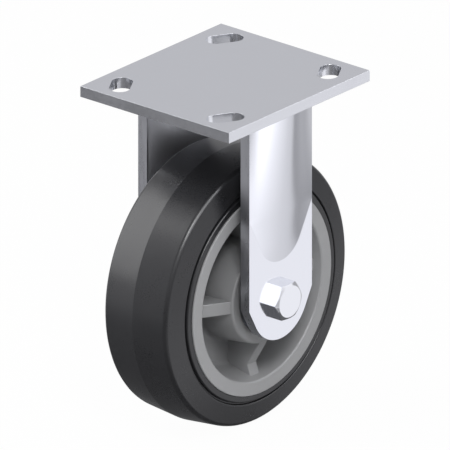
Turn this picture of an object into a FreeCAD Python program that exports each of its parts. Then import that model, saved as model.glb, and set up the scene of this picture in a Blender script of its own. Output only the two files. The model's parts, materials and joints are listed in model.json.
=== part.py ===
# Fixed castor: a slotted top plate, two dished legs welded under it, and a rubber-tyred wheel that
# turns on two shielded ball bearings round a bolted axle.
# Millimetres. The origin is the centre of the plate's top face. +Z points up, +X runs along the axle
# towards the bolt's head, and +Y is the way the castor rolls.
import FreeCAD, Part
import math
import os
import Sketcher

Vector = FreeCAD.Vector
SHEET = "Sizes"

# Driving sizes: name, value, what it measures
SIZES = [
    ("plate_width", 101.6, "top plate, along the axle"),
    ("plate_length", 114.3, "top plate, along the rolling direction"),
    ("plate_thickness", 6.0, "top plate"),
    ("slot_radius", 5.556, "half the width of a bolt slot"),
    ("slot_inner_side", 12.7, "slot's end nearer the wheel, in from the plate's side edge"),
    ("slot_inner_front", 19.05, "the same end, in from the plate's front or back edge"),
    ("slot_outer_side", 17.462, "slot's other end, in from the plate's side edge"),
    ("slot_outer_front", 11.112, "the same end, in from the plate's front or back edge"),
    ("axle_drop", 114.3, "plate's top face down to the axle"),
    ("leg_width", 50.8, "leg, along the rolling direction"),
    ("leg_thickness", 6.0, "leg's sheet"),
    ("leg_end_inset", 3.0, "round lower end of a leg, inside the leg's half width"),
    ("dish_tip_rise", 21.5, "axle up to the lowest point of the leg's dish"),
    ("dish_tip_radius", 17.8, "round lower end of the dish's outline"),
    ("dish_flank_angle", 27.0, "dish's straight flank from the vertical, degrees"),
    ("dish_slope_angle", 4.57, "dish's ridge from the vertical, degrees"),
    ("weld_leg", 3.2, "fillet weld between a leg and the plate"),
    ("hub_gap", 4.2, "wheel's hub to a leg's inner face"),
    ("axle_diameter", 12.7, "axle bolt's shank"),
    ("axle_clearance", 0.15, "between the shank and what it passes through, on the radius"),
    ("head_flats", 19.05, "bolt head across its flats"),
    ("head_height", 6.5, "bolt head"),
    ("head_circle", 8.7, "radius of the flat on the bolt head's front"),
    ("head_chamfer_angle", 30.0, "bolt head's and nut's chamfer, degrees"),
    ("washer_radius", 13.0, "washer under the nut"),
    ("washer_thickness", 2.5, "washer under the nut"),
    ("nut_flats", 19.05, "lock nut across its flats"),
    ("nut_height", 8.6, "lock nut's hexagon"),
    ("nut_collar_height", 3.6, "lock nut's round collar beyond its hexagon"),
    ("nut_collar_wall", 1.2, "lock nut's collar round the insert"),
    ("insert_width", 1.6, "lock nut's nylon ring, on the radius"),
    ("insert_height", 2.6, "lock nut's nylon ring, along the bolt"),
    ("insert_clearance", 0.03, "between the nylon ring and the shank, on the radius"),
    ("bolt_end_length", 2.6, "bolt's end beyond the lock nut"),
    ("bolt_end_chamfer", 1.1, "chamfer at the bolt's end"),
    ("sleeve_radius", 8.47, "outside of the axle sleeve"),
    ("sleeve_clearance", 0.03, "between the sleeve and what it carries, on the radius"),
    ("spacer_wall", 2.6, "bearing spacer's wall"),
    ("bearing_radius", 20.0, "bearing's outside"),
    ("bearing_width", 12.0, "bearing"),
    ("bearing_recess", 1.2, "bearing's face below the hub's end"),
    ("race_gap_share", 0.42608696, "gap between a bearing's rings, of the space from bore to outside"),
    ("groove_depth", 0.9235, "ball groove in a bearing ring"),
    ("ball_count", 8, "balls in a bearing"),
    ("ball_clearance", 0.06, "between a ball and its grooves"),
    ("shield_thickness", 0.8, "bearing shield"),
    ("shield_gap", 0.3, "shield's edge to the inner ring"),
    ("shield_seat", 0.7, "shield's seat, cut into the outer ring"),
    ("cage_rim", 0.8, "ball cage's rim beside the balls"),
    ("cage_thickness", 2.4, "ball cage, on the radius"),
    ("hub_length", 55.6, "wheel's hub, along the axle"),
    ("hub_wall", 6.95, "hub's wall round a bearing, at its end"),
    ("hub_draft", 7.0, "hub's outside from the axle, degrees"),
    ("hub_edge_round", 1.2, "hub's outer edge"),
    ("hub_lead_in", 1.0, "chamfer where a bearing goes in"),
    ("bearing_shoulder", 2.6, "shoulder in the hub behind a bearing, on the radius"),
    ("web_thickness", 10.0, "wheel's web"),
    ("web_round", 2.2, "round where the web meets the hub and the rim"),
    ("rim_radius", 56.0, "rim's outside, at its face"),
    ("rim_width", 51.2, "rim, face to face"),
    ("rim_face", 7.6, "rim's face, on the radius"),
    ("rim_draft", 12.5, "rim's inside from the axle, degrees"),
    ("rim_inner_round", 1.1, "rim's inner edge at its face"),
    ("rim_outer_round", 0.5, "rim's outer edge at its face"),
    ("rim_lip", 3.2, "rim's lip beside the tyre's seat, along the axle"),
    ("rim_step", 2.2, "tyre's seat above the rim's lip"),
    ("rib_thickness", 7.2, "wheel's ribs"),
    ("rib_count", 4, "ribs round the wheel"),
    ("rib_slope_angle", 30.0, "rib's front edge from square to the axle, degrees"),
    ("rib_ledge", 7.1, "rib's flat foot beside the rim, on the radius"),
    ("rib_ledge_rise", 2.6, "how much the rib's foot rises towards the rim"),
    ("tyre_thickness", 19.3, "tread's middle above the rim's outside"),
    ("tread_width", 41.8, "tread, edge to edge"),
    ("tread_crown", 2.0, "how much lower the tread's edge is than its middle"),
    ("tread_edge_round", 2.0, "tread's edge"),
    ("tyre_lip_height", 3.7, "tyre's lip beside the rim, on the radius"),
    ("tyre_lip_inset", 0.9, "tyre's lip below the rim's face"),
    ("tyre_groove_width", 1.1, "groove round the tyre's side"),
    ("tyre_groove_depth", 1.6, "groove round the tyre's side"),
    ("sidewall_inset", 1.4, "sidewall's foot below the rim's face"),
]

# Where round the dish's tip its shape is set, in degrees from its lowest point
DISH_STATIONS = (50, 34, 20, 8)


class Size:
    """A number together with the formula that gives it, so a shape and its binding always agree."""

    def __init__(self, value, formula):
        self.value = float(value)
        self.formula = formula

    def __add__(self, other):
        other = as_size(other)
        return Size(self.value + other.value, f"({self.formula} + {other.formula})")

    def __sub__(self, other):
        other = as_size(other)
        return Size(self.value - other.value, f"({self.formula} - {other.formula})")

    def __mul__(self, other):
        other = as_size(other)
        return Size(self.value * other.value, f"({self.formula} * {other.formula})")

    def __truediv__(self, other):
        other = as_size(other)
        return Size(self.value / other.value, f"({self.formula} / {other.formula})")

    def __neg__(self):
        return Size(-self.value, f"(0 - {self.formula})")

    def __rsub__(self, other):
        return as_size(other) - self

    __radd__ = __add__
    __rmul__ = __mul__


def as_size(number):
    """A plain number as a Size."""
    if isinstance(number, Size):
        return number
    return Size(number, f"({number!r})")


def root(size):
    return Size(math.sqrt(size.value), f"sqrt({size.formula})")


def sine(degrees):
    degrees = as_size(degrees)
    return Size(math.sin(math.radians(degrees.value)), f"sin({degrees.formula} * 1 deg)")


def cosine(degrees):
    degrees = as_size(degrees)
    return Size(math.cos(math.radians(degrees.value)), f"cos({degrees.formula} * 1 deg)")


def tangent(degrees):
    return sine(degrees) / cosine(degrees)


# The document and its sheet of sizes
doc = FreeCAD.newDocument("fixed_castor")
sheet = doc.addObject("Spreadsheet::Sheet", SHEET)
for row, (alias, number, meaning) in enumerate(SIZES, start=1):
    sheet.set(f"A{row}", meaning)
    sheet.set(f"B{row}", str(number))
    sheet.setAlias(f"B{row}", alias)
doc.recompute()
S = {alias: Size(number, f"{SHEET}.{alias}") for alias, number, meaning in SIZES}

# Sizes that follow from the driving ones
axle_radius = S["axle_diameter"] / 2
hub_half = S["hub_length"] / 2
leg_inner = hub_half + S["hub_gap"]
leg_outer = leg_inner + S["leg_thickness"]
leg_half = S["leg_width"] / 2
rim_half = S["rim_width"] / 2
web_half = S["web_thickness"] / 2
bolt_hole = axle_radius + S["axle_clearance"]
insert_bore = axle_radius + S["insert_clearance"]
dish_top_rise = S["axle_drop"] - S["dish_tip_rise"] - S["plate_thickness"]
bearing_bore = S["sleeve_radius"] + S["sleeve_clearance"]
bearing_far = hub_half - S["bearing_recess"]
bearing_near = bearing_far - S["bearing_width"]
bearing_middle = (bearing_far + bearing_near) / 2
ball_pitch = (bearing_bore + S["bearing_radius"]) / 2
race_reach = (S["bearing_radius"] - bearing_bore) * S["race_gap_share"] / 2
ball_radius = race_reach + S["groove_depth"]
inner_shoulder = ball_pitch - race_reach
outer_shoulder = ball_pitch + race_reach


# Helpers for bodies, sketches and bindings
def bind(feature, path, size):
    """Binds one property of a feature to the formula of a size."""
    feature.setExpression(path, as_size(size).formula)


def new_body(label, along_axle=None):
    """A body in the row's frame, or with its own origin on the axle, as far along it as is given."""
    body = doc.addObject("PartDesign::Body", label)
    body.Label = label
    if along_axle is not None:
        bind(body, "Placement.Base.x", along_axle)
        bind(body, "Placement.Base.z", -S["axle_drop"])
    return body


def new_sketch(body, name, role, offset=0):
    """A sketch on one of the body's own planes, moved along the plane's normal by offset."""
    sketch = body.newObject("Sketcher::SketchObject", f"{body.Label}_{name}")
    plane = next(item for item in body.Origin.OriginFeatures if item.Role == role)
    offset = as_size(offset)
    sketch.AttachmentSupport = [(plane, "")]
    sketch.MapMode = "FlatFace"
    sketch.AttachmentOffset = FreeCAD.Placement(Vector(0, 0, offset.value), FreeCAD.Rotation())
    bind(sketch, "AttachmentOffset.Base.z", offset)
    sketch.Visibility = False
    return sketch


def pin_down(sketch, geometry, vertex, kind, size):
    """Fixes one coordinate of a sketch vertex from the sketch's origin."""
    ends = (-1, 1, geometry, vertex)
    if size.value < 0:
        ends = (geometry, vertex, -1, 1)
        size = -size
    constraint = sketch.addConstraint(Sketcher.Constraint(kind, *ends, size.value))
    bind(sketch, f"Constraints[{constraint}]", size)


def arc_between(start, end, radius):
    """The smaller arc from start to end. Its centre is on the left of the way there, or on the right
    for a negative radius."""
    chord = end - start
    half = chord.Length / 2
    left = Vector(-chord.y, chord.x, 0).normalize()
    reach = math.sqrt(max(radius * radius - half * half, 0.0))
    centre = (start + end) / 2 + left * math.copysign(reach, radius)
    first, last = (start, end) if radius > 0 else (end, start)
    angles = [math.atan2(p.y - centre.y, p.x - centre.x) for p in (first, last)]
    return Part.ArcOfCircle(Part.Circle(centre, Vector(0, 0, 1), abs(radius)), *angles)


def draw(sketch, corners):
    """Draws a closed outline. A corner is (x, y), or (x, y, radius) where an arc leads to the next."""
    corners = [tuple(as_size(number) for number in corner) for corner in corners]
    spots = [Vector(corner[0].value, corner[1].value, 0) for corner in corners]
    edges = []
    for index, corner in enumerate(corners):
        start = spots[index]
        end = spots[(index + 1) % len(spots)]
        if len(corner) == 2:
            geometry = sketch.addGeometry(Part.LineSegment(start, end), False)
            edges.append((geometry, 1, 2))
            continue
        radius = corner[2]
        geometry = sketch.addGeometry(arc_between(start, end, radius.value), False)
        edges.append((geometry, 1, 2) if radius.value > 0 else (geometry, 2, 1))
        length = radius if radius.value > 0 else -radius
        constraint = sketch.addConstraint(Sketcher.Constraint("Radius", geometry, length.value))
        bind(sketch, f"Constraints[{constraint}]", length)
    for index, (geometry, first, last) in enumerate(edges):
        following = edges[(index + 1) % len(edges)]
        joint = Sketcher.Constraint("Coincident", geometry, last, following[0], following[1])
        sketch.addConstraint(joint)
        pin_down(sketch, geometry, first, "DistanceX", corners[index][0])
        pin_down(sketch, geometry, first, "DistanceY", corners[index][1])
    return sketch


def draw_circle(sketch, x, y, radius):
    """Draws a full circle."""
    x, y, radius = as_size(x), as_size(y), as_size(radius)
    circle = Part.Circle(Vector(x.value, y.value, 0), Vector(0, 0, 1), radius.value)
    geometry = sketch.addGeometry(circle, False)
    constraint = sketch.addConstraint(Sketcher.Constraint("Radius", geometry, radius.value))
    bind(sketch, f"Constraints[{constraint}]", radius)
    pin_down(sketch, geometry, 3, "DistanceX", x)
    pin_down(sketch, geometry, 3, "DistanceY", y)


def draw_slot(sketch, first, second, radius):
    """Draws a slot with round ends about two centres."""
    centres = [Vector(x.value, y.value, 0) for x, y in (second, first)]
    side = (centres[0] - centres[1]).cross(Vector(0, 0, 1)).normalize() * radius.value
    turn = math.atan2(side.y, side.x)
    edges = []
    for centre, start, way in ((centres[0], turn, -side), (centres[1], turn + math.pi, side)):
        circle = Part.Circle(centre, Vector(0, 0, 1), radius.value)
        arc = Part.ArcOfCircle(circle, start, start + math.pi)
        edges.append(sketch.addGeometry(arc, False))
        other = centres[1] if centre is centres[0] else centres[0]
        edges.append(sketch.addGeometry(Part.LineSegment(centre + way, other + way), False))
    for index, edge in enumerate(edges):
        following = edges[(index + 1) % len(edges)]
        sketch.addConstraint(Sketcher.Constraint("Tangent", edge, 2, following, 1))
    for arc, (x, y) in ((edges[0], second), (edges[2], first)):
        pin_down(sketch, arc, 3, "DistanceX", x)
        pin_down(sketch, arc, 3, "DistanceY", y)
    constraint = sketch.addConstraint(Sketcher.Constraint("Radius", edges[0], radius.value))
    bind(sketch, f"Constraints[{constraint}]", radius)
    sketch.addConstraint(Sketcher.Constraint("Equal", edges[0], edges[2]))


def both_halves(half):
    """An outline that is the same on both sides of x = 0, from its corners at x above 0."""
    mirrored = [(-as_size(corner[0]), *corner[1:]) for corner in reversed(half)]
    arcs = [corner[2] if len(corner) > 2 else None for corner in half]
    turned_back = []
    for index, corner in enumerate(mirrored):
        source = len(half) - 2 - index
        radius = arcs[source] if source >= 0 else None
        turned_back.append(corner[:2] if radius is None else (*corner[:2], radius))
    return [*half, *turned_back]


def add_feature(body, kind, name, sketch, **settings):
    """A feature of the body that works on one sketch."""
    feature = body.newObject(f"PartDesign::{kind}", f"{body.Label}_{name}")
    feature.Profile = sketch
    for setting, choice in settings.items():
        setattr(feature, setting, choice)
    return feature


def pad(body, name, sketch, length, **settings):
    feature = add_feature(body, "Pad", name, sketch, **settings)
    bind(feature, "Length", length)
    return feature


def revolve(body, name, sketch, kind="Revolution"):
    """Turns a sketch a full turn about its own horizontal axis, which lies on the axle."""
    return add_feature(body, kind, name, sketch, ReferenceAxis=(sketch, ["H_Axis"]), Angle=360)


def turned(label, outline, along_axle=0):
    """A piece that is one outline, in x along the axle and y out from it, turned about the axle."""
    body = new_body(label, along_axle)
    revolve(body, "turning", draw(new_sketch(body, "section", "XY_Plane"), outline))
    return body


def ring(label, low, high, inner, outer, along_axle=0):
    """A plain ring round the axle."""
    outline = [(low, inner), (high, inner), (high, outer), (low, outer)]
    return turned(label, outline, along_axle)


def hexagon(sketch, flats):
    """A hexagon round the axle with a flat on top, as the bolt and nut are tightened."""
    corner = flats / math.sqrt(3)
    draw(sketch, [(corner * cosine(60 * k), corner * sine(60 * k)) for k in range(6)])
    return sketch


def polar_pattern(body, name, feature, count):
    """Repeats a feature about the body's own X axis, and makes the pattern the body's tip."""
    pattern = body.newObject("PartDesign::PolarPattern", f"{body.Label}_{name}")
    pattern.Originals = [feature]
    axis = next(item for item in body.Origin.OriginFeatures if item.Role == "X_Axis")
    pattern.Axis = (axis, [""])
    pattern.Angle = 360
    pattern.Occurrences = int(count.value)
    bind(pattern, "Occurrences", count)
    body.Tip = pattern


# Top plate, with a slot towards each corner
def make_top_plate():
    body = new_body("top_plate")
    sketch = new_sketch(body, "outline", "XY_Plane")
    half_width = S["plate_width"] / 2
    half_length = S["plate_length"] / 2
    draw(sketch, [(half_width, half_length), (-half_width, half_length),
                  (-half_width, -half_length), (half_width, -half_length)])
    for across in (1, -1):
        for along in (1, -1):
            ends = [((half_width - S[f"slot_{end}_side"]) * across,
                     (half_length - S[f"slot_{end}_front"]) * along) for end in ("inner", "outer")]
            draw_slot(sketch, *ends, S["slot_radius"])
    pad(body, "slab", sketch, S["plate_thickness"], Reversed=True)
    return body


# Legs: a flat blade with a round lower end, and an upper part that is pressed outwards into a dish
def dish_height(rise):
    """How far the dish's ridge stands out of the blade's face, at a rise above its tip."""
    return rise * tangent(S["dish_slope_angle"])


def bow_radius(half_chord, height):
    """Radius of the arc that rises by height over a chord."""
    return (half_chord * half_chord + height * height) / (height * 2)


def dish_section(body, name, rise, half_chord, face, back):
    """One level cut through the dish: a round segment outside the plane x = face, and a strip behind
    it as deep as back."""
    bow = bow_radius(half_chord, dish_height(rise))
    level = rise + S["dish_tip_rise"] - S["axle_drop"]
    sketch = new_sketch(body, name, "XY_Plane", level)
    draw(sketch, [(face - back, -half_chord), (face, -half_chord, bow), (face, half_chord),
                  (face - back, half_chord)])
    return sketch


def dish_loft(body, kind, name, stations, face, back, **settings):
    sketches = [dish_section(body, f"{name}_{index}", rise, half_chord, face, back)
                for index, (rise, half_chord) in enumerate(stations)]
    return add_feature(body, kind, name, sketches[0], Sections=sketches[1:], **settings)


def make_leg(label, turn):
    body = new_body(label)
    body.Placement = FreeCAD.Placement(Vector(), FreeCAD.Rotation(Vector(0, 0, 1), turn))
    blade = new_sketch(body, "outline", "YZ_Plane", leg_inner)
    end = leg_half - S["leg_end_inset"]
    tangent_out = end * end / leg_half
    tangent_down = root(end * end - tangent_out * tangent_out)
    axle = -S["axle_drop"]
    draw(blade, [(leg_half, -S["plate_thickness"]), (-leg_half, -S["plate_thickness"]),
                 (-leg_half, axle), (-tangent_out, axle - tangent_down, end),
                 (tangent_out, axle - tangent_down), (leg_half, axle)])
    draw_circle(blade, 0, axle, bolt_hole)
    pad(body, "blade", blade, S["leg_thickness"])

    # The dish's outline is a V with a round tip. Rises are measured from the tip.
    tip = S["dish_tip_radius"]
    flank = S["dish_flank_angle"]
    flank_start = tip - tip * sine(flank)
    flank_out = tip * cosine(flank)
    full_rise = flank_start + (leg_half - flank_out) / tangent(flank)
    middle_rise = (flank_start + full_rise) / 2
    round_angles = [90 - flank, *DISH_STATIONS]
    rounds = [(tip - tip * cosine(angle), tip * sine(angle)) for angle in round_angles]
    middle = (middle_rise, (flank_out + leg_half) / 2)
    lower = [(full_rise, leg_half), middle, *rounds]
    upper = [(dish_top_rise, leg_half), (full_rise, leg_half)]
    sheet_back = S["leg_thickness"] / 3
    dish_loft(body, "AdditiveLoft", "bulge", upper, leg_outer, sheet_back, Ruled=True)
    dish_loft(body, "AdditiveLoft", "bulge_tip", lower, leg_outer, sheet_back)
    dish_loft(body, "SubtractiveLoft", "hollow", inside_of(upper), leg_inner, sheet_back, Ruled=True)
    dish_loft(body, "SubtractiveLoft", "hollow_tip", inside_of(lower), leg_inner, sheet_back)
    return body


def inside_of(stations):
    """The dish's inner side, one sheet's thickness inside its outer side."""
    return [(rise, inner_half_chord(rise, half_chord)) for rise, half_chord in stations]


def inner_half_chord(rise, half_chord):
    lost = dish_height(rise) * S["leg_thickness"] * 2
    return root(half_chord * half_chord - lost)


def make_weld(label, leg, turn):
    """The fillet weld round a leg's top edge: a collar that widens towards the plate."""
    body = new_body(f"{label}_collar")
    body.Placement = FreeCAD.Placement(Vector(), FreeCAD.Rotation(Vector(0, 0, 1), turn))
    foot = -S["plate_thickness"] - S["weld_leg"]
    outer_bow = bow_radius(leg_half, dish_height(dish_top_rise))
    inner_bow = outer_bow - S["leg_thickness"]
    inner_half = inner_half_chord(dish_top_rise, leg_half)
    sketch = new_sketch(body, "outline", "XY_Plane", foot)
    draw(sketch, [(leg_inner, -leg_half), (leg_outer, -leg_half, outer_bow), (leg_outer, leg_half),
                  (leg_inner, leg_half), (leg_inner, inner_half, -inner_bow),
                  (leg_inner, -inner_half)])
    pad(body, "bead", sketch, S["weld_leg"], TaperAngle=45)
    weld = doc.addObject("Part::Cut", label)
    weld.Label = label
    weld.Base = body
    weld.Tool = leg
    return weld


# Axle: the bolt from one leg to the other, its washer and lock nut, and the sleeve between the legs
def chamfer_hexagon(body, name, front, flat, flats, direction):
    """Turns the corners off one end of a hexagon, down to a flat circle on its face. The cut reaches
    well past the corners."""
    beyond = flats
    depth = (beyond - flat) * tangent(S["head_chamfer_angle"])
    sketch = new_sketch(body, f"{name}_section", "XY_Plane")
    draw(sketch, [(front, flat), (front, beyond), (front - depth * direction, beyond)])
    revolve(body, name, sketch, "Groove")


def make_axle_bolt():
    body = new_body("axle_bolt", 0)
    end = -(leg_outer + S["washer_thickness"] + S["nut_height"] + S["nut_collar_height"]
            + S["bolt_end_length"])
    chamfer = S["bolt_end_chamfer"]
    shank = new_sketch(body, "shank_section", "XY_Plane")
    draw(shank, [(end, 0), (leg_outer, 0), (leg_outer, axle_radius), (end + chamfer, axle_radius),
                 (end, axle_radius - chamfer)])
    revolve(body, "shank", shank)
    head = hexagon(new_sketch(body, "head_outline", "YZ_Plane", leg_outer), S["head_flats"])
    pad(body, "head", head, S["head_height"])
    front = leg_outer + S["head_height"]
    chamfer_hexagon(body, "head_chamfer", front, S["head_circle"], S["head_flats"], 1)
    return body


def make_lock_nut():
    body = new_body("lock_nut", 0)
    seat = -(leg_outer + S["washer_thickness"])
    shoulder = seat - S["nut_height"]
    end = shoulder - S["nut_collar_height"]
    pocket = insert_bore + S["insert_width"]
    collar = pocket + S["nut_collar_wall"]
    lip = S["nut_collar_height"] - S["insert_height"]
    sketch = hexagon(new_sketch(body, "outline", "YZ_Plane", seat), S["nut_flats"])
    draw_circle(sketch, 0, 0, bolt_hole)
    pad(body, "hexagon", sketch, S["nut_height"], Reversed=True)
    section = new_sketch(body, "collar_section", "XY_Plane")
    insert_end = end + lip
    draw(section, [(shoulder, pocket), (shoulder, collar), (insert_end, collar, S["nut_collar_wall"]),
                   (end, pocket), (end, pocket - S["nut_collar_wall"] / 2),
                   (insert_end, pocket - S["nut_collar_wall"] / 2), (insert_end, pocket)])
    revolve(body, "collar", section)
    chamfer_hexagon(body, "seat_chamfer", seat, S["nut_flats"] / 2, S["nut_flats"], 1)
    return body


def make_nut_insert():
    """The nylon ring in the lock nut's collar."""
    low = -(leg_outer + S["washer_thickness"] + S["nut_height"] + S["insert_height"])
    outer = insert_bore + S["insert_width"]
    return ring("nut_insert", low, low + S["insert_height"], insert_bore, outer)


def make_axle_pieces():
    washer_far = -(leg_outer + S["washer_thickness"])
    spacer = bearing_bore + S["spacer_wall"]
    pieces = [
        make_axle_bolt(),
        ring("nut_washer", washer_far, -leg_outer, bolt_hole, S["washer_radius"]),
        make_lock_nut(),
        make_nut_insert(),
        ring("axle_sleeve", -leg_inner, leg_inner, bolt_hole, S["sleeve_radius"]),
        ring("bearing_spacer", -bearing_near, bearing_near, bearing_bore, spacer),
    ]
    for side, low, high in (("right", bearing_far, leg_inner), ("left", -leg_inner, -bearing_far)):
        pieces.append(ring(f"end_spacer_{side}", low, high, bearing_bore, inner_shoulder))
    return pieces


# Bearings: grooved rings, balls in a cage between them, and a shield on each side
def make_bearing(side, direction):
    place = bearing_middle * direction
    half = S["bearing_width"] / 2
    groove = ball_radius + S["ball_clearance"]
    mouth = root(groove * groove - race_reach * race_reach)
    seat = outer_shoulder + S["shield_seat"]
    shelf = half - S["shield_thickness"]
    inner_ring = turned(f"bearing_inner_ring_{side}", [
        (half, bearing_bore), (half, inner_shoulder), (mouth, inner_shoulder, -groove),
        (-mouth, inner_shoulder), (-half, inner_shoulder), (-half, bearing_bore)], place)
    outer_ring = turned(f"bearing_outer_ring_{side}", [
        (-half, S["bearing_radius"]), (-half, seat), (-shelf, seat), (-shelf, outer_shoulder),
        (-mouth, outer_shoulder, -groove), (mouth, outer_shoulder),
        (shelf, outer_shoulder), (shelf, seat), (half, seat), (half, S["bearing_radius"])], place)
    pieces = [inner_ring, outer_ring]
    shield_inner = inner_shoulder + S["shield_gap"]
    for face, low, high in (("outer", shelf, half), ("inner", -half, -shelf)):
        name = f"bearing_shield_{side}_{face}"
        ends = (low, high) if direction > 0 else (-high, -low)
        pieces.append(ring(name, *ends, shield_inner, seat, place))
    pieces.append(make_cage(side, place))
    pieces.append(make_balls(side, place))
    return pieces


def make_cage(side, place):
    """A ring with a round window for each ball."""
    window = ball_radius + S["ball_clearance"]
    half = window + S["cage_rim"]
    inner = ball_pitch - S["cage_thickness"] / 2
    body = ring(f"ball_cage_{side}", -half, half, inner, inner + S["cage_thickness"], place)
    sketch = new_sketch(body, "window_outline", "XY_Plane")
    draw_circle(sketch, 0, 0, window)
    cut = add_feature(body, "Pocket", "window", sketch, Reversed=True)
    bind(cut, "Length", S["bearing_radius"])
    polar_pattern(body, "windows", cut, S["ball_count"])
    return body


def make_balls(side, place):
    """The bearing's balls, as a group of separate solids."""
    balls = []
    for index in range(int(S["ball_count"].value)):
        ball = doc.addObject("Part::Sphere", f"ball_{side}_{index}")
        angle = 90 + as_size(360 * index) / S["ball_count"]
        bind(ball, "Radius", ball_radius)
        bind(ball, "Placement.Base.x", place)
        bind(ball, "Placement.Base.y", ball_pitch * cosine(angle))
        bind(ball, "Placement.Base.z", ball_pitch * sine(angle) - S["axle_drop"])
        balls.append(ball)
    group = doc.addObject("Part::Compound", f"balls_{side}")
    group.Label = f"balls_{side}"
    group.Links = balls
    return group


# Wheel: a moulded core with a web and ribs, and the rubber tyre bonded round it
hub_end_radius = S["bearing_radius"] + S["hub_wall"]
rim_inner = S["rim_radius"] - S["rim_face"]
lip_far = rim_half - S["rim_lip"]
seat_far = lip_far - S["rim_step"]
seat_radius = S["rim_radius"] + S["rim_step"]


def hub_surface(x):
    """Radius of the hub's drafted outside at x along the axle."""
    return hub_end_radius + (hub_half - x) * tangent(S["hub_draft"])


def rim_surface(x):
    """Radius of the rim's drafted inside at x along the axle."""
    return rim_inner - (rim_half - x) * tangent(S["rim_draft"])


def make_wheel_core():
    body = new_body("wheel_core", 0)
    bore = S["bearing_radius"] - S["bearing_shoulder"]
    lead = S["hub_lead_in"]
    edge = S["hub_edge_round"]
    turn = S["web_round"]
    inner_edge = S["rim_inner_round"]
    outer_edge = S["rim_outer_round"]
    web_far = web_half + turn
    half = [
        (bearing_near, bore),
        (bearing_near, S["bearing_radius"]),
        (hub_half - lead, S["bearing_radius"]),
        (hub_half, S["bearing_radius"] + lead),
        (hub_half, hub_end_radius - edge, edge),
        (hub_half - edge, hub_surface(hub_half - edge)),
        (web_far, hub_surface(web_far), -turn),
        (web_half, hub_surface(web_far) + turn),
        (web_half, rim_surface(web_far) - turn, -turn),
        (web_far, rim_surface(web_far)),
        (rim_half - inner_edge, rim_surface(rim_half - inner_edge), inner_edge),
        (rim_half, rim_inner + inner_edge),
        (rim_half, S["rim_radius"] - outer_edge, outer_edge),
        (rim_half - outer_edge, S["rim_radius"]),
        (lip_far, S["rim_radius"]),
        (seat_far, seat_radius),
    ]
    revolve(body, "turning", draw(new_sketch(body, "section", "XY_Plane"), both_halves(half)))

    # A rib runs from hub to rim on both sides of the web, deepest at the hub
    slope = tangent(S["rib_slope_angle"])
    start = hub_half - edge
    foot_radius = rim_inner - S["rib_ledge"]
    foot = start - (foot_radius - hub_end_radius) * slope
    ledge = foot + S["rib_ledge_rise"]
    inside_hub = hub_end_radius - edge * 2
    inside_rim = rim_inner + inner_edge
    half = [(start, inside_hub), (start, hub_end_radius), (foot, foot_radius), (ledge, rim_inner),
            (ledge, inside_rim)]
    sketch = draw(new_sketch(body, "rib_outline", "XY_Plane"), both_halves(half))
    rib = pad(body, "rib", sketch, S["rib_thickness"], SideType="Symmetric")
    polar_pattern(body, "ribs", rib, S["rib_count"])
    return body


def make_tyre():
    lip_face = rim_half - S["tyre_lip_inset"]
    lip_top = S["rim_radius"] + S["tyre_lip_height"]
    foot = lip_top + S["tyre_groove_width"]
    foot_face = rim_half - S["sidewall_inset"]
    groove_floor = foot_face - S["tyre_groove_depth"]
    edge = S["tread_edge_round"]
    tread_half = S["tread_width"] / 2
    wheel_radius = S["rim_radius"] + S["tyre_thickness"]
    edge_radius = wheel_radius - S["tread_crown"]
    crown_slope = S["tread_crown"] / tread_half
    side_slope = (foot_face - tread_half) / (edge_radius - foot)
    half = [
        (seat_far, seat_radius),
        (lip_far, S["rim_radius"]),
        (lip_face, S["rim_radius"]),
        (lip_face, lip_top),
        (groove_floor, lip_top),
        (groove_floor, foot),
        (foot_face, foot),
        (tread_half + side_slope * edge, edge_radius - edge, edge),
        (tread_half - edge, edge_radius + crown_slope * edge),
    ]
    crest = [(0, wheel_radius)]
    mirrored = both_halves(half)
    count = len(half)
    return turned("tyre", [*mirrored[:count], *crest, *mirrored[count:]])


# Every piece of the castor
fork_leg_right = make_leg("fork_leg_right", 0)
fork_leg_left = make_leg("fork_leg_left", 180)
pieces = [
    make_top_plate(),
    fork_leg_right,
    fork_leg_left,
    make_weld("weld_right", fork_leg_right, 0),
    make_weld("weld_left", fork_leg_left, 180),
    *make_axle_pieces(),
    *make_bearing("right", 1),
    *make_bearing("left", -1),
    make_wheel_core(),
    make_tyre(),
]
doc.recompute()

# Nothing is written unless every object came out whole
broken = [item.Label for item in doc.Objects if {"Invalid", "Error"} & set(item.State)]
broken += [item.Label for item in pieces if item.Shape.isNull() or not item.Shape.isValid()]
if broken:
    raise RuntimeError(f"these did not build: {sorted(set(broken))}")
os.makedirs("parts", exist_ok=True)
for item in pieces:
    item.Shape.exportStep(f"parts/{item.Label}.step")
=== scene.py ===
import json
import math

import bmesh
import bpy
from bpy.props import FloatProperty, FloatVectorProperty, IntProperty, PointerProperty
from mathutils import Matrix, Vector


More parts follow.
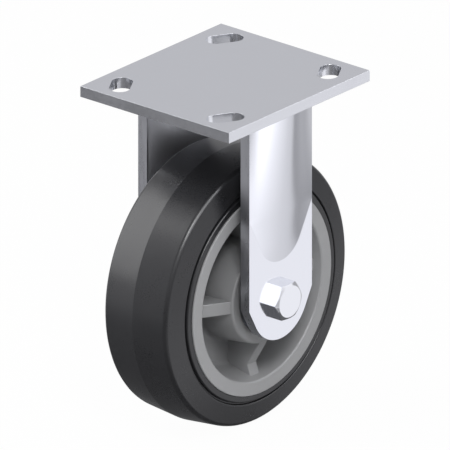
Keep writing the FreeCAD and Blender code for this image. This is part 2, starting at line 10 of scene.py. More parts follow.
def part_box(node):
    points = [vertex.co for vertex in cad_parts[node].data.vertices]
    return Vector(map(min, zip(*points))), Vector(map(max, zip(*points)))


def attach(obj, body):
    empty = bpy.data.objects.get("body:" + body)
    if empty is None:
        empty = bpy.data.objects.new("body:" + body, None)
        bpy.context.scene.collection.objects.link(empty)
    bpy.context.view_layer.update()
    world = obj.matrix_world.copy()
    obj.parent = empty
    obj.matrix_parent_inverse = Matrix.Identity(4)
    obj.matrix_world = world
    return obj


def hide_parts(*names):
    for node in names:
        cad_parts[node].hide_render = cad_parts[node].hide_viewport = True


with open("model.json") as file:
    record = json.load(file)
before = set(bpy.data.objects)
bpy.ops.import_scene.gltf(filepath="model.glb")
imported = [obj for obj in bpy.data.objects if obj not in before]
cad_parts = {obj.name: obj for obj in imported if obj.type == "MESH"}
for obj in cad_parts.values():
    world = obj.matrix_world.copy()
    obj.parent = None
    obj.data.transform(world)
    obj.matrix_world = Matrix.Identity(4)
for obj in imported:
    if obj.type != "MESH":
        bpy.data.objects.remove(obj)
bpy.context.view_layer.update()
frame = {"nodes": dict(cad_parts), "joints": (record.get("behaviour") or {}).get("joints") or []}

bl_info = {
    "name": "Fixed castor",
    "version": (1, 0, 0),
    "blender": (4, 5, 0),
    "location": "3D View > Sidebar > Castor",
    "description": "Dresses the fixed castor in plated steel, plastic and rubber, in a pale studio",
    "category": "Object",
}

MM = 0.001
AXLE = Vector(frame["joints"][0]["pos_m"])
PLATE_LOW, PLATE_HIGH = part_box("top_plate")
WASHER_LOW, WASHER_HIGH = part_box("nut_washer")
BOLT_LOW, BOLT_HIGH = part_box("axle_bolt")
NUT_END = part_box("lock_nut")[0].x
HUB_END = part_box("wheel_core")[1].x
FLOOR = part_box("tyre")[0].z
LEG_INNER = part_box("axle_sleeve")[1].x
LEG_OUTER = -WASHER_HIGH.x


# Sizes and colours that a user can change
class CastorSizes(bpy.types.PropertyGroup):
    plate_edge: FloatProperty(name="Plate edge", description="Worn round on the plate's cut edges",
                              default=0.07 * MM, unit="LENGTH")
    sheared_edge: FloatProperty(name="Sheared edge", description="Worn round on the legs' cut edges",
                                default=0.15 * MM, unit="LENGTH")
    crease: FloatProperty(name="Crease", description="Width of the pressed bend round a leg's dish",
                          default=0.9 * MM, unit="LENGTH")
    fastener_edge: FloatProperty(name="Fastener edge", description="Round on the bolt, nut and washer",
                                 default=0.12 * MM, unit="LENGTH")
    thread_pitch: FloatProperty(name="Thread pitch", description="Turn to turn on the bolt's end",
                                default=1.954 * MM, unit="LENGTH")
    thread_depth: FloatProperty(name="Thread depth", description="Crest to root on the bolt's end",
                                default=1.0 * MM, unit="LENGTH")
    moulded_edge: FloatProperty(name="Moulded edge", description="Round on the wheel's moulded edges",
                                default=0.5 * MM, unit="LENGTH")
    rubber_edge: FloatProperty(name="Rubber edge", description="Round on the tyre's lesser edges",
                               default=0.35 * MM, unit="LENGTH")
    weld_crown: FloatProperty(name="Weld crown", description="How far a bead stands out of a flat fillet",
                              default=0.25 * MM, unit="LENGTH")
    weld_ripple: FloatProperty(name="Weld ripple", description="How far its ripples stand out of the bead",
                               default=0.22 * MM, unit="LENGTH")
    weld_pitch: FloatProperty(name="Weld pitch", description="Distance from ripple to ripple",
                              default=1.7 * MM, unit="LENGTH")
    turning_steps: IntProperty(name="Turning steps", description="Faces round a turned piece", default=192)


class CastorColours(bpy.types.PropertyGroup):
    plate_zinc: FloatVectorProperty(name="Plate zinc", description="Plated top plate",
                                    subtype="COLOR", size=3, default=(0.70, 0.71, 0.74))
    leg_zinc: FloatVectorProperty(name="Leg zinc", description="Plated and polished legs",
                                  subtype="COLOR", size=3, default=(0.78, 0.79, 0.83))
    weld_zinc: FloatVectorProperty(name="Weld zinc", description="Plated weld beads",
                                   subtype="COLOR", size=3, default=(0.34, 0.345, 0.355))
    bolt_zinc: FloatVectorProperty(name="Bolt zinc", description="Plated bolt, nut and washer",
                                   subtype="COLOR", size=3, default=(0.80, 0.81, 0.84))
    nylon: FloatVectorProperty(name="Nylon", description="Lock nut's ring",
                               subtype="COLOR", size=3, default=(0.72, 0.73, 0.70))
    turned_steel: FloatVectorProperty(name="Turned steel", description="Sleeve and spacers",
                                      subtype="COLOR", size=3, default=(0.56, 0.56, 0.57))
    bearing_steel: FloatVectorProperty(name="Bearing steel", description="Bearing rings and balls",
                                       subtype="COLOR", size=3, default=(0.62, 0.63, 0.65))
    pressed_steel: FloatVectorProperty(name="Pressed steel", description="Bearing shields and cages",
                                       subtype="COLOR", size=3, default=(0.50, 0.50, 0.49))
    wheel_plastic: FloatVectorProperty(name="Wheel plastic", description="Moulded wheel core",
                                       subtype="COLOR", size=3, default=(0.385, 0.388, 0.397))
    tyre_rubber: FloatVectorProperty(name="Tyre rubber", description="Rubber of the tyre",
                                     subtype="COLOR", size=3, default=(0.0165, 0.0167, 0.0185))


class CastorStage(bpy.types.PropertyGroup):
    view_turn: FloatProperty(name="View turn", description="Camera's way round the castor", subtype="ANGLE",
                             default=math.radians(40.09))
    view_rise: FloatProperty(name="View rise", description="Camera's height over the castor", subtype="ANGLE",
                             default=math.radians(22.01))
    view_width: FloatProperty(name="View width", description="Width that the camera takes in", unit="LENGTH",
                              default=0.23517)
    side_lamp: FloatProperty(name="Side lamp", description="Large soft lamp on the bolt head's side",
                             subtype="POWER", default=6.6)
    high_lamp: FloatProperty(name="High lamp", description="Soft lamp high on the left", subtype="POWER",
                             default=9.0)
    room_light: FloatProperty(name="Room light", description="Even light from all round", default=0.52)
    floor_colour: FloatVectorProperty(name="Floor colour", description="Pale studio floor", subtype="COLOR",
                                      size=3, default=(0.86, 0.86, 0.86))


# Shader maths as Python expressions
class Term:
    """A value in a node tree. Arithmetic on it adds Math nodes."""

    def __init__(self, nodes, socket):
        self.nodes = nodes
        self.socket = socket

    def math(self, operation, *others):
        return self.nodes.add("ShaderNodeMath", dict(enumerate((self, *others))), operation=operation)

    def __add__(self, other):
        return self.math("ADD", other)

    def __mul__(self, other):
        return self.math("MULTIPLY", other)

    def __truediv__(self, other):
        return self.math("DIVIDE", other)

    def __pow__(self, other):
        return self.math("POWER", other)

    __radd__ = __add__
    __rmul__ = __mul__


class Nodes:
    """A node tree being made. One method adds any node, with its settings and what goes into it."""

    def __init__(self, tree):
        self.tree = tree
        tree.nodes.clear()

    def add(self, kind, inputs=None, output=0, stops=None, **settings):
        node = self.tree.nodes.new(kind)
        for setting, choice in settings.items():
            setattr(node, setting, choice)
        if stops:
            ramp = node.color_ramp.elements
            while len(ramp) < len(stops):
                ramp.new(0.5)
            for element, (position, colour) in zip(ramp, stops):
                element.position = position
                element.color = colour
        for name, value in (inputs or {}).items():
            if isinstance(value, Term):
                self.tree.links.new(value.socket, node.inputs[name])
            else:
                node.inputs[name].default_value = value
        return Term(self, node.outputs[output]) if len(node.outputs) else None

    def read(self, kind, *names):
        """Outputs, by name, of a node that nothing goes into."""
        outputs = self.add(kind).socket.node.outputs
        return [Term(self, outputs[name]) for name in names]

    def split(self, vector):
        """The three numbers of a vector."""
        outputs = self.add("ShaderNodeSeparateXYZ", {0: vector}).socket.node.outputs
        return [Term(self, output) for output in outputs]

    def between(self, factor, low, high):
        """A mix of two colours."""
        return self.add("ShaderNodeMix", {0: factor, 6: low, 7: high}, output=2, data_type="RGBA")

    def remap(self, value, low, high, to_low, to_high):
        """Value between two limits, carried over to two others."""
        sockets = {0: value, 1: low, 2: high, 3: to_low, 4: to_high}
        return self.add("ShaderNodeMapRange", sockets, interpolation_type="SMOOTHSTEP")


class Finish(Nodes):
    """A material being made."""

    def __init__(self, name):
        self.material = bpy.data.materials.new(name)
        self.material.use_nodes = True
        super().__init__(self.material.node_tree)

    def place(self, shift=(0, 0, 0), stretch=(1, 1, 1)):
        """Object coordinates, moved and stretched."""
        where = self.add("ShaderNodeTexCoord", output="Object")
        return self.add("ShaderNodeMapping", {"Vector": where, "Location": shift, "Scale": stretch})

    def about_axle(self):
        """How far a point lies along the axle, and how far from it."""
        x, y, z = self.split(self.place(shift=-AXLE))
        return x, (y * y + z * z) ** 0.5

    def outward(self):
        """1 where a face looks away from the castor's middle along the axle, -1 where it looks in."""
        where, facing = self.read("ShaderNodeTexCoord", "Object", "Normal")
        return self.split(where)[0].math("SIGN") * self.split(facing)[0]

    def grain(self, vector, scale, detail=3.0, rough=0.55):
        """Noise from 0 to 1, about 0.5."""
        sockets = {"Vector": vector, "Scale": scale, "Detail": detail, "Roughness": rough}
        return self.add("ShaderNodeTexNoise", sockets)

    def rings(self, where, scale):
        """Noise along one number, for marks that go round the axle."""
        sockets = {"W": where, "Scale": scale, "Detail": 2.0}
        return self.add("ShaderNodeTexNoise", sockets, noise_dimensions="1D")

    def bump(self, height, distance, strength=1.0):
        return self.add("ShaderNodeBump", {"Height": height, "Distance": distance, "Strength": strength})

    def surface(self, **sockets):
        """The material's surface, from the sockets of a Principled shader."""
        named = {name.replace("_", " "): value for name, value in sockets.items()}
        shader = self.add("ShaderNodeBsdfPrincipled", named)
        self.add("ShaderNodeOutputMaterial", {"Surface": shader})
        return self.material


def shade(colour, factor):
    """A colour made lighter or darker, as a socket takes it."""
    return (*[min(1.0, part * factor) for part in colour], 1.0)


def plated(name, colour, roughness, grain_stretch, grain_depth=0.2, cloud=0.02, inner_roughness_and_shade=None):
    """Bright zinc plate over steel: mirror-like, with faint clouds and the marks of rolling."""
    finish = Finish(name)
    clouds = finish.grain(finish.place(), 38.0, 4.0)
    marks = finish.grain(finish.place(stretch=grain_stretch), 420.0, 3.0, 0.6)
    mix = clouds * 0.65 + marks * 0.35
    plating = finish.between(mix, shade(colour, 1 - cloud), shade(colour, 1 + cloud))
    if inner_roughness_and_shade:
        # Faces that look in towards the castor's middle get a rougher finish, and painted shade: a darker
        # colour
        outward = finish.outward()
        roughness = finish.remap(outward, -0.3, 0.5, inner_roughness_and_shade, roughness)
        # Painted shade on the inward faces: their colour is darkened
        plating = finish.between(finish.remap(outward, -0.6, 0.6, 0.0, 1.0), shade(colour, 0.68), plating)
    return finish.surface(
        Base_Color=plating,
        Metallic=1.0,
        Roughness=finish.remap(marks * 0.6 + clouds * 0.4, 0.3, 0.7, 0.86, 1.16) * roughness,
        Normal=finish.bump(marks, 0.004 * MM, grain_depth),
    )


def weld_finish(name, colour):
    """A plated weld bead: duller than the sheet, and speckled."""
    finish = Finish(name)
    specks = finish.grain(finish.place(), 900.0, 5.0, 0.7)
    patches = finish.grain(finish.place(), 120.0, 2.0)
    return finish.surface(
        Base_Color=finish.between(patches, shade(colour, 0.8), shade(colour, 1.15)),
        Metallic=1.0,
        Roughness=finish.remap(specks, 0.3, 0.7, 0.38, 0.52),
        Normal=finish.bump(specks, 0.08 * MM, 0.6),
    )


def turned_finish(name, colour, roughness, lines=6000.0):
    """Steel turned about the axle: fine rings, brighter and duller by bands."""
    finish = Finish(name)
    along, reach = finish.about_axle()
    rings = finish.rings(along + reach, lines)
    clouds = finish.grain(finish.place(), 60.0)
    return finish.surface(
        Base_Color=finish.between(clouds, shade(colour, 0.92), shade(colour, 1.08)),
        Metallic=1.0,
        Roughness=finish.remap(rings, 0.3, 0.7, roughness * 0.8, roughness * 1.2),
        Normal=finish.bump(rings, 0.004 * MM, 0.5),
    )


def nylon_finish(name, colour):
    finish = Finish(name)
    clouds = finish.grain(finish.place(), 300.0)
    return finish.surface(
        Base_Color=finish.between(clouds, shade(colour, 0.93), shade(colour, 1.05)),
        Roughness=finish.remap(clouds, 0.3, 0.7, 0.4, 0.55),
        Normal=finish.bump(clouds, 0.02 * MM, 0.4),
    )


def plastic_finish(name, colour):
    """Grey moulded plastic: a spark-etched skin with faint clouds, and painted shade that darkens its pockets
    and the faces near its hub.
    """
    finish = Finish(name)
    skin = finish.grain(finish.place(), 2200.0, 3.0, 0.6)
    flow = finish.grain(finish.place(stretch=(0.6, 1, 1)), 26.0, 3.0)
    along, reach = finish.about_axle()
    # Painted shade: darker where a face lies low in the pockets between hub and rim
    raised = finish.remap(along.math("ABSOLUTE"), 7.0 * MM, 24.5 * MM, 0.0, 1.0)
    # Painted shade: darker the nearer a face lies to the axle, round the hub
    outer = finish.remap(reach, 24.0 * MM, 42.0 * MM, 0.0, 1.0)
    moulded = finish.between(flow, shade(colour, 0.93), shade(colour, 1.07))
    moulded = finish.between(raised, shade(colour, 0.70), moulded)
    # The hub's painted-shade colours, darker again in its pockets
    inner = finish.between(raised, shade(colour, 0.40), shade(colour, 0.64))
    return finish.surface(
        Base_Color=finish.between(outer, inner, moulded),
        Roughness=finish.remap(skin * 0.5 + flow * 0.5, 0.3, 0.7, 0.31, 0.44),
        Normal=finish.bump(skin, 0.02 * MM, 0.5),
    )


def rubber_finish(name, colour):
    """Dark rubber: fine pores, faint rings from its mould, and a tread a little greyer than its sides."""
    finish = Finish(name)
    reach = finish.about_axle()[1]
    rings = finish.rings(reach, 1400.0)
    pores = finish.grain(finish.place(), 1700.0, 4.0, 0.65)
    clouds = finish.grain(finish.place(), 45.0, 3.0)
    tread = finish.remap(reach, 72.8 * MM, 73.8 * MM, 0.0, 1.0)
    grey = clouds * 0.5 + tread * 0.35 + pores * 0.15
    return finish.surface(
        Base_Color=finish.between(grey, shade(colour, 0.8), shade(colour, 1.5)),
        Roughness=finish.remap(clouds * 0.5 + pores * 0.5, 0.3, 0.7, 0.26, 0.34),
        Normal=finish.bump(pores * 0.6 + rings * 0.4, 0.02 * MM, 0.4),
    )


# Mesh helpers
def mm(x, y, z):
    return Vector((x, y, z)) * MM


def on_axle(x, radius):
    """A point above the axle, by its place along it and its distance from it."""
    return Vector((x * MM, 0.0, AXLE.z + radius * MM))


def verts_in(geometry):
    return [item for item in geometry if isinstance(item, bmesh.types.BMVert)]


def edges_in(geometry):
    return [item for item in geometry if isinstance(item, bmesh.types.BMEdge)]


def chain(bm, points, closed=True):
    """Joins new vertices by edges."""
    verts = [bm.verts.new(point) for point in points]
    pairs = list(zip(verts, verts[1:]))
    if closed:
        pairs.append((verts[-1], verts[0]))
    return verts, [bm.edges.new(pair) for pair in pairs]


def turn_outline(bm, outline, rounds=()):
    """Turns a closed outline about the axle and rounds the corners named as (x, radius, round)."""
    steps = bpy.context.scene.castor_sizes.turning_steps
    verts, edges = chain(bm, [on_axle(x, radius) for x, radius in outline])
    bmesh.ops.spin(bm, geom=verts + edges, cent=AXLE, axis=(1, 0, 0), angle=math.tau, steps=steps,
                   use_merge=True)
    bmesh.ops.remove_doubles(bm, verts=bm.verts, dist=1e-6)
    for x, radius, size in rounds:
        put_in_order(bm)
        ring =[edge for edge in bm.edges if all(on_ring(vert, x, radius) for vert in edge.verts)]
        bmesh.ops.bevel(bm, geom=ring, offset=size * MM, offset_type="OFFSET", segments=5, profile=0.5,
                        affect="EDGES", clamp_overlap=False, material=-1)


def reach_of(point):
    """Distance of a point from the axle."""
    return math.hypot(point.y, point.z - AXLE.z)


def on_ring(vert, x, radius):
    return abs(vert.co.x - x * MM) < 1e-6 and abs(reach_of(vert.co) - radius * MM) < 1e-5


def mirrored(half):
    """An outline from its corners on the bolt head's side, the same on the other side."""
    return [*half, *[(-x, radius) for x, radius in reversed(half)]]


def both_sides(rounds):
    return [*rounds, *[(-x, radius, size) for x, radius, size in rounds]]


def pull(bm, edges, move):
    """Extrudes a loop of edges and puts each new vertex where move says."""
    made = bmesh.ops.extrude_edge_only(bm, edges=edges)["geom"]
    new = set(verts_in(made))
    for vert in new:
        vert.co = move(vert.co)
    return [edge for edge in edges_in(made) if set(edge.verts) <= new]


def cap(bm, edges):
    """Closes a flat loop with a face."""
    bmesh.ops.contextual_create(bm, geom=edges)


def turned_half_round(side):
    """The turn that carries a piece of the bolt head's side over to the other side."""
    return Matrix.Rotation(math.pi if side == "left" else 0.0, 3, "Z")


def put_in_order(bm):
    """Numbers a mesh by place, since extruding and rounding number it differently in each run."""
    verts = sorted(bm.verts, key=lambda vert: tuple(vert.co))
    numbers = {vert: k for k, vert in enumerate(verts)}
    places = [vert.co.copy() for vert in verts]
    hard = [[numbers[vert] for vert in edge.verts] for edge in bm.edges if not edge.smooth]
    faces = []
    for face in bm.faces:
        corners = [numbers[vert] for vert in face.verts]
        first = corners.index(min(corners))
        faces.append(corners[first:] + corners[:first])
    bm.clear()
    verts = [bm.verts.new(place) for place in places]
    for corners in sorted(faces):
        bm.faces.new([verts[k] for k in corners])
    for first, second in hard:
        bm.edges.get((verts[first], verts[second])).smooth = False
    bm.normal_update()


def end_mesh(name, bm):
    """The finished mesh of some mesh work, which ends there."""
    mesh = bpy.data.meshes.new(name)
    bm.to_mesh(mesh)
    bm.free()
    return mesh


def put_in_scene(name, data):
    made = bpy.data.objects.new(name, data)
    bpy.context.scene.collection.objects.link(made)
    return made


def settings():
    return bpy.context.scene.castor_sizes, bpy.context.scene.castor_colours


def make_piece(name, bm, body, nodes, material, edge=None, angle=28.0, segments=3):
    """Closes the mesh work: one object at the origin that rides a body and stands for CAD nodes."""
    bmesh.ops.remove_doubles(bm, verts=bm.verts, dist=1e-6)
    bmesh.ops.recalc_face_normals(bm, faces=bm.faces)
    put_in_order(bm)
    for face in bm.faces:
        face.smooth = True
    piece =put_in_scene(name, end_mesh(name, bm))
    piece.data.materials.append(material)
    if edge:
        rounding = piece.modifiers.new("Rounded edges", "BEVEL")
        rounding.width = edge
        rounding.segments = segments
        rounding.limit_method = "ANGLE"
        rounding.angle_limit = math.radians(angle)
        rounding.miter_outer = "MITER_ARC"
        rounding.face_strength_mode = "FSTR_NEW"
    evened = piece.modifiers.new("Even shading", "WEIGHTED_NORMAL")
    evened.keep_sharp = True
    evened.use_face_influence = bool(edge)
    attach(piece, body)
    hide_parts(*nodes)
    return piece


def dress(names, material):
    """Gives CAD nodes that keep their own shape a finish."""
    for name in names:
        node = frame["nodes"][name]
        node.data.materials.clear()
        node.data.materials.append(material)


# Top plate. A slot runs between the centres of its round ends, given here in mm
SLOT_INNER_END = (38.1, 38.1)
SLOT_OUTER_END = (33.338, 46.038)
SLOT_RADIUS = 5.556


def slot_loop(bm, first, second, radius):
    """The edge of a slot with round ends."""
    along = (second - first).normalized()
    side = Vector((-along.y, along.x, 0)) * radius
    start = bm.verts.new(first + side)
    last = start
    for centre, jump in ((first, second - side), (second, None)):
        made = bmesh.ops.spin(bm, geom=[last], cent=centre, axis=(0, 0, 1), angle=math.pi, steps=20)
        last = verts_in(made["geom_last"])[0]
        if jump is not None:
            following = bm.verts.new(jump)
            bm.edges.new((last, following))
            last = following
    bm.edges.new((last, start))


def make_plate():
    sizes, colours = settings()
    bm = bmesh.new()
    high = PLATE_HIGH
    chain(bm, [Vector((high.x, high.y, 0)), Vector((-high.x, high.y, 0)),
               Vector((-high.x, -high.y, 0)), Vector((high.x, -high.y, 0))])
    for across in (1, -1):
        for along in (1, -1):
            ends = [mm(across * x, along * y, 0) for x, y in (SLOT_INNER_END, SLOT_OUTER_END)]
            slot_loop(bm, *ends, SLOT_RADIUS * MM)
    bmesh.ops.triangle_fill(bm, use_beauty=True, use_dissolve=False, edges=bm.edges)
    bmesh.ops.recalc_face_normals(bm, faces=bm.faces)
    bmesh.ops.solidify(bm, geom=bm.faces, thickness=PLATE_HIGH.z - PLATE_LOW.z)
    top = max(vert.co.z for vert in bm.verts)
    bmesh.ops.translate(bm, verts=bm.verts, vec=(0, 0, PLATE_HIGH.z - top))
    material = plated("plate_zinc", colours.plate_zinc, 0.22, (1.0, 0.12, 1.0))
    make_piece("plate_slab", bm, "fork", ["top_plate"], material,
               sizes.plate_edge, 40.0)


# Legs: a pressed sheet whose upper part bulges into a dish with a round tip. Lengths in mm
TIP_RISE = 21.5  # from the axle up to the dish's tip
TIP_RADIUS = 17.8
FLANK = math.radians(27.0)  # how far each flank opens
SLOPE = math.tan(math.radians(4.57))
LEG_HALF = 25.4
LEG_TOP = 6.0  # below the plate's upper face
END_RADIUS = 22.4  # of the leg's round lower end
SHEET = 6.0
BOLT_HOLE = 6.5
INSIDE = 0.96  # share of the dish's half width at its outermost column of points


def half_chord(rise):
    """Half the dish's width at a rise above its tip."""
    flank_start = TIP_RADIUS * (1 - math.sin(FLANK))
    if rise <= 0:
        return 0.0
    if rise < flank_start:
        return math.sqrt(TIP_RADIUS ** 2 - (TIP_RADIUS - rise) ** 2)
    return min(LEG_HALF, TIP_RADIUS * math.cos(FLANK) + (rise - flank_start) * math.tan(FLANK))


def stand_out(y, rise):
    """How far the dish stands out of the blade's face."""
    chord = half_chord(rise)
    height = rise * SLOPE
    if abs(y) >= chord or height <= 0:
        return 0.0
    bow = (chord ** 2 + height ** 2) / (2 * height)
    return math.sqrt(bow ** 2 - y ** 2) - (bow - height)


def dish_rises(top):
    """Levels up the dish: close together round its tip, even above."""
    flank_start = TIP_RADIUS * (1 - math.sin(FLANK))
    flank_end = flank_start + (LEG_HALF - TIP_RADIUS * math.cos(FLANK)) / math.tan(FLANK)
    tip = [TIP_RADIUS * (1 - math.cos((math.pi / 2 - FLANK) * k / 12)) for k in range(13)]
    flank = [flank_start + (flank_end - flank_start) * k / 10 for k in range(1, 11)]
    upper = [flank_end + (top - flank_end) * k / 18 for k in range(1, 19)]
    return tip + flank + upper


def inner_chord(rise):
    """Half the hollow's width on the leg's inner face."""
    return math.sqrt(max(0.0, half_chord(rise) ** 2 - 2 * rise * SLOPE * SHEET))


def stand_in(y, rise):
    """How far the hollow goes out from the leg's inner face."""
    chord = half_chord(rise)
    height = rise * SLOPE
    if height <= 0 or abs(y) >= inner_chord(rise):
        return 0.0
    bow = (chord ** 2 + height ** 2) / (2 * height)
    return math.sqrt((bow - SHEET) ** 2 - y ** 2) - (bow - height) + SHEET


def dish_point(across, rise, crease, face, chord_at, height_at):
    """A grid point on the leg: across runs from -1 to 1 over the dish and on to 3 over its flat flanks."""
    chord = chord_at(rise)
    flank = LEG_HALF - chord
    beside = max(0.0, abs(across) - 1)
    away = min(crease, flank) * min(1.0, beside) + max(0.0, flank - crease) * max(0.0, beside - 1)
    y = math.copysign(min(1.0, abs(across)) * chord + away, across)
    return Vector((face + height_at(y, rise) * MM, y * MM, AXLE.z + (TIP_RISE + rise) * MM))


def make_leg_sheet(crease):
    bm = bmesh.new()
    rises = dish_rises(-AXLE.z / MM - TIP_RISE - LEG_TOP)
    inside = [INSIDE * (k / 15 - 1) for k in range(31)]
    columns = [-3, -2, -1, *inside, 1, 2, 3]
    wide = len(columns) - 1
    tall = len(rises) - 1
    bmesh.ops.create_grid(bm, x_segments=wide, y_segments=tall, size=0.5)
    grid = {}
    for vert in bm.verts:
        place = columns[round((vert.co.x + 0.5) * wide)], rises[round((vert.co.y + 0.5) * tall)]
        grid[vert] = place
        vert.co = dish_point(*place, crease, LEG_OUTER, half_chord, stand_out)
    bmesh.ops.remove_doubles(bm, verts=bm.verts, dist=2e-6)

    # The flat lower end, round about the axle, with the bolt's hole
    low = AXLE.z + TIP_RISE * MM
    foot = [edge for edge in bm.edges
            if edge.is_boundary and all(abs(vert.co.z - low) < 1e-6 for vert in edge.verts)]
    corners = sorted({vert for edge in foot for vert in edge.verts}, key=lambda vert: vert.co.y)
    out = END_RADIUS ** 2 / LEG_HALF
    down = math.sqrt(END_RADIUS ** 2 - out ** 2)
    left = bm.verts.new(Vector((LEG_OUTER, -LEG_HALF * MM, AXLE.z)))
    right = bm.verts.new(Vector((LEG_OUTER, LEG_HALF * MM, AXLE.z)))
    start = bm.verts.new(Vector((LEG_OUTER, -out * MM, AXLE.z - down * MM)))
    centre = Vector((LEG_OUTER, 0, AXLE.z))
    sweep = math.pi - 2 * math.asin(down / END_RADIUS)
    before = set(bm.edges)
    made = bmesh.ops.spin(bm, geom=[start], cent=centre, axis=(1, 0, 0), angle=sweep, steps=40)
    end = verts_in(made["geom_last"])[0]
    for pair in ((corners[0], left), (left, start), (end, right), (right, corners[-1])):
        bm.edges.new(pair)
    upright = Matrix.Translation(centre) @ Matrix.Rotation(math.pi / 2, 4, "Y")
    bmesh.ops.create_circle(bm, cap_ends=False, radius=BOLT_HOLE * MM, segments=48, matrix=upright)
    rim = [edge for edge in bm.edges if edge not in before] + foot
    bmesh.ops.triangle_fill(bm, use_beauty=True, use_dissolve=False, normal=(1, 0, 0), edges=rim)
    bmesh.ops.recalc_face_normals(bm, faces=bm.faces)

    # The inner face, and the cut edges between the two
    copy = bmesh.ops.duplicate(bm, geom=bm.verts[:] + bm.edges[:] + bm.faces[:])
    for vert in [vert for vert in bm.verts if vert in copy["vert_map"]]:
        twin = copy["vert_map"][vert]
        if not twin.is_valid or twin in grid or vert not in grid:
            continue
        across, rise = grid[vert]
        if abs(across) >= 1 and abs(vert.co.y) > (LEG_HALF - 0.001) * MM:
            across = math.copysign(3, across)
        elif half_chord(rise) >= LEG_HALF:
            across /= INSIDE
        twin.co = dish_point(across, rise, crease, LEG_INNER, inner_chord, stand_in)
    gridded = {copy["vert_map"][vert] for vert in grid if vert.is_valid}
    for vert in set(verts_in(copy["geom"])) - gridded:
        vert.co.x = LEG_INNER
    edges = [edge for edge in bm.edges if edge.is_boundary]
    hole = [edge for edge in edges if reach_of(edge.verts[0].co) < (BOLT_HOLE + 0.1) * MM]
    bmesh.ops.bridge_loops(bm, edges=[edge for edge in edges if edge not in set(hole)])
    bmesh.ops.bridge_loops(bm, edges=hole)
    return bm


def make_legs():
    sizes, colours = settings()
    # The legs' inner faces get painted shade as well as a rougher finish
    material = plated("leg_zinc", colours.leg_zinc, 0.11, (1.0, 1.0, 0.10), inner_roughness_and_shade=0.38)
    for side in ("right", "left"):
        bm = make_leg_sheet(sizes.crease / MM)
        bmesh.ops.rotate(bm, verts=bm.verts, cent=(0, 0, 0), matrix=turned_half_round(side))
        make_piece(f"pressed_leg_{side}", bm, "fork", [f"fork_leg_{side}"], material,
                   sizes.sheared_edge, 55.0)


# Axle bolt, washer and lock nut. Lengths in mm
ACROSS_FLATS = 19.05
FACE_CIRCLE = 8.7  # where the bolt head's chamfer starts
SHANK = 6.35
SHANK_END = -44.0
THREAD_START = -43.0  # inside the shank, so that no seam shows
THREAD_CREST = 6.3
THREAD_TIP = 5.1  # the chamfered tip's radius
WASHER_REACH = 13.0
NUT_HEIGHT = 8.6  # its hexagon, without the collar
NUT_CIRCLE = 9.3


def hexagon_reach(flats, angle):
    """Distance from the centre to a hexagon's side, with a flat on top."""
    return flats / 2 / math.cos((angle + math.pi / 6) % (math.pi / 3) - math.pi / 6)


def ring_of(bm, x, radius, segments=96):
    """A circle of edges about the axle."""
    place = Matrix.Translation((x * MM, 0, AXLE.z)) @ Matrix.Rotation(math.pi / 2, 4, "Y")
    made = bmesh.ops.create_circle(bm, cap_ends=False, radius=radius * MM, segments=segments, matrix=place)
    verts = made["verts"]
    return list({edge for vert in verts for edge in vert.link_edges})


def to_radius(x, radius):
    """Moves a point straight out or in to a radius, at x along the axle."""
    def move(point):
        out = Vector((0, point.y, point.z - AXLE.z)).normalized()
        return Vector((x * MM, 0, AXLE.z)) + out * radius * MM
    return move


def to_hexagon(x, flats, circle=None, way=1):
    """Moves a point out to a hexagon, falling back as a 30 degree chamfer from a circle on its face."""
    def move(point):
        out = Vector((0, point.y, point.z - AXLE.z)).normalized()
        reach = hexagon_reach(flats, math.atan2(out.y, out.z))
        back = 0.0 if circle is None else (reach - circle) * math.tan(math.pi / 6)
        return Vector(((x - way * back) * MM, 0, AXLE.z)) + out * reach * MM
    return move


def make_thread(bm, tip, inner, pitch, depth):
    """The bolt's threaded end, from its chamfered tip to a plane inside the nut."""
    root = THREAD_CREST - depth
    end = tip - 1.5 * pitch
    turns = math.ceil((inner - end) / pitch) + 1
    steps_a_turn = 48
    points = [on_axle(end, root), on_axle(end + pitch * 0.42, THREAD_CREST),
              on_axle(end + pitch * 0.58, THREAD_CREST), on_axle(end + pitch, root)]
    verts, edges = chain(bm, points, closed=False)
    before = set(bm.verts) - set(verts)
    bmesh.ops.spin(bm, geom=verts + edges, cent=AXLE, axis=(1, 0, 0), angle=math.tau * turns,
                   dvec=(pitch * MM / steps_a_turn, 0, 0), steps=steps_a_turn * turns)
    thread = [vert for vert in bm.verts if vert not in before]
    bmesh.ops.remove_doubles(bm, verts=thread, dist=2e-6)
    for x, way in ((tip, -1), (inner, 1)):
        verts = [vert for vert in bm.verts if vert not in before]
        edges = list({edge for vert in verts for edge in vert.link_edges})
        faces = list({face for vert in verts for face in vert.link_faces})
        cut = bmesh.ops.bisect_plane(bm, geom=verts + edges + faces, dist=1e-8, plane_co=(x * MM, 0, 0),
                                     plane_no=(way, 0, 0), clear_outer=True)
        cap(bm, edges_in(cut["geom_cut"]))
    for vert in bm.verts:
        if vert in before:
            continue
        reach = reach_of(vert.co)
        limit = (THREAD_TIP + (vert.co.x / MM - tip)) * MM
        if reach > limit:
            scale = limit / reach
            vert.co.y *= scale
            vert.co.z = AXLE.z + (vert.co.z - AXLE.z) * scale


def pull_through(bm, loop, moves):
    """Pulls a loop of edges from each place to the next."""
    for move in moves:
        loop = pull(bm, loop, move)
    return loop


def make_bolt(zinc):
    sizes = settings()[0]
    face = LEG_OUTER / MM
    front = BOLT_HIGH.x / MM
    bm = bmesh.new()
    loop = ring_of(bm, front, FACE_CIRCLE)
    cap(bm, loop)
    moves = [to_hexagon(front, ACROSS_FLATS, FACE_CIRCLE), to_hexagon(face, ACROSS_FLATS),
             to_radius(face, SHANK), to_radius(SHANK_END, SHANK)]
    cap(bm, pull_through(bm, loop, moves))
    bmesh.ops.remove_doubles(bm, verts=bm.verts, dist=1e-6)
    make_thread(bm, BOLT_LOW.x / MM, THREAD_START, sizes.thread_pitch / MM, sizes.thread_depth / MM)
    make_piece("hexagon_bolt", bm, "fork", ["axle_bolt"], zinc, sizes.fastener_edge, 24.0, 2)


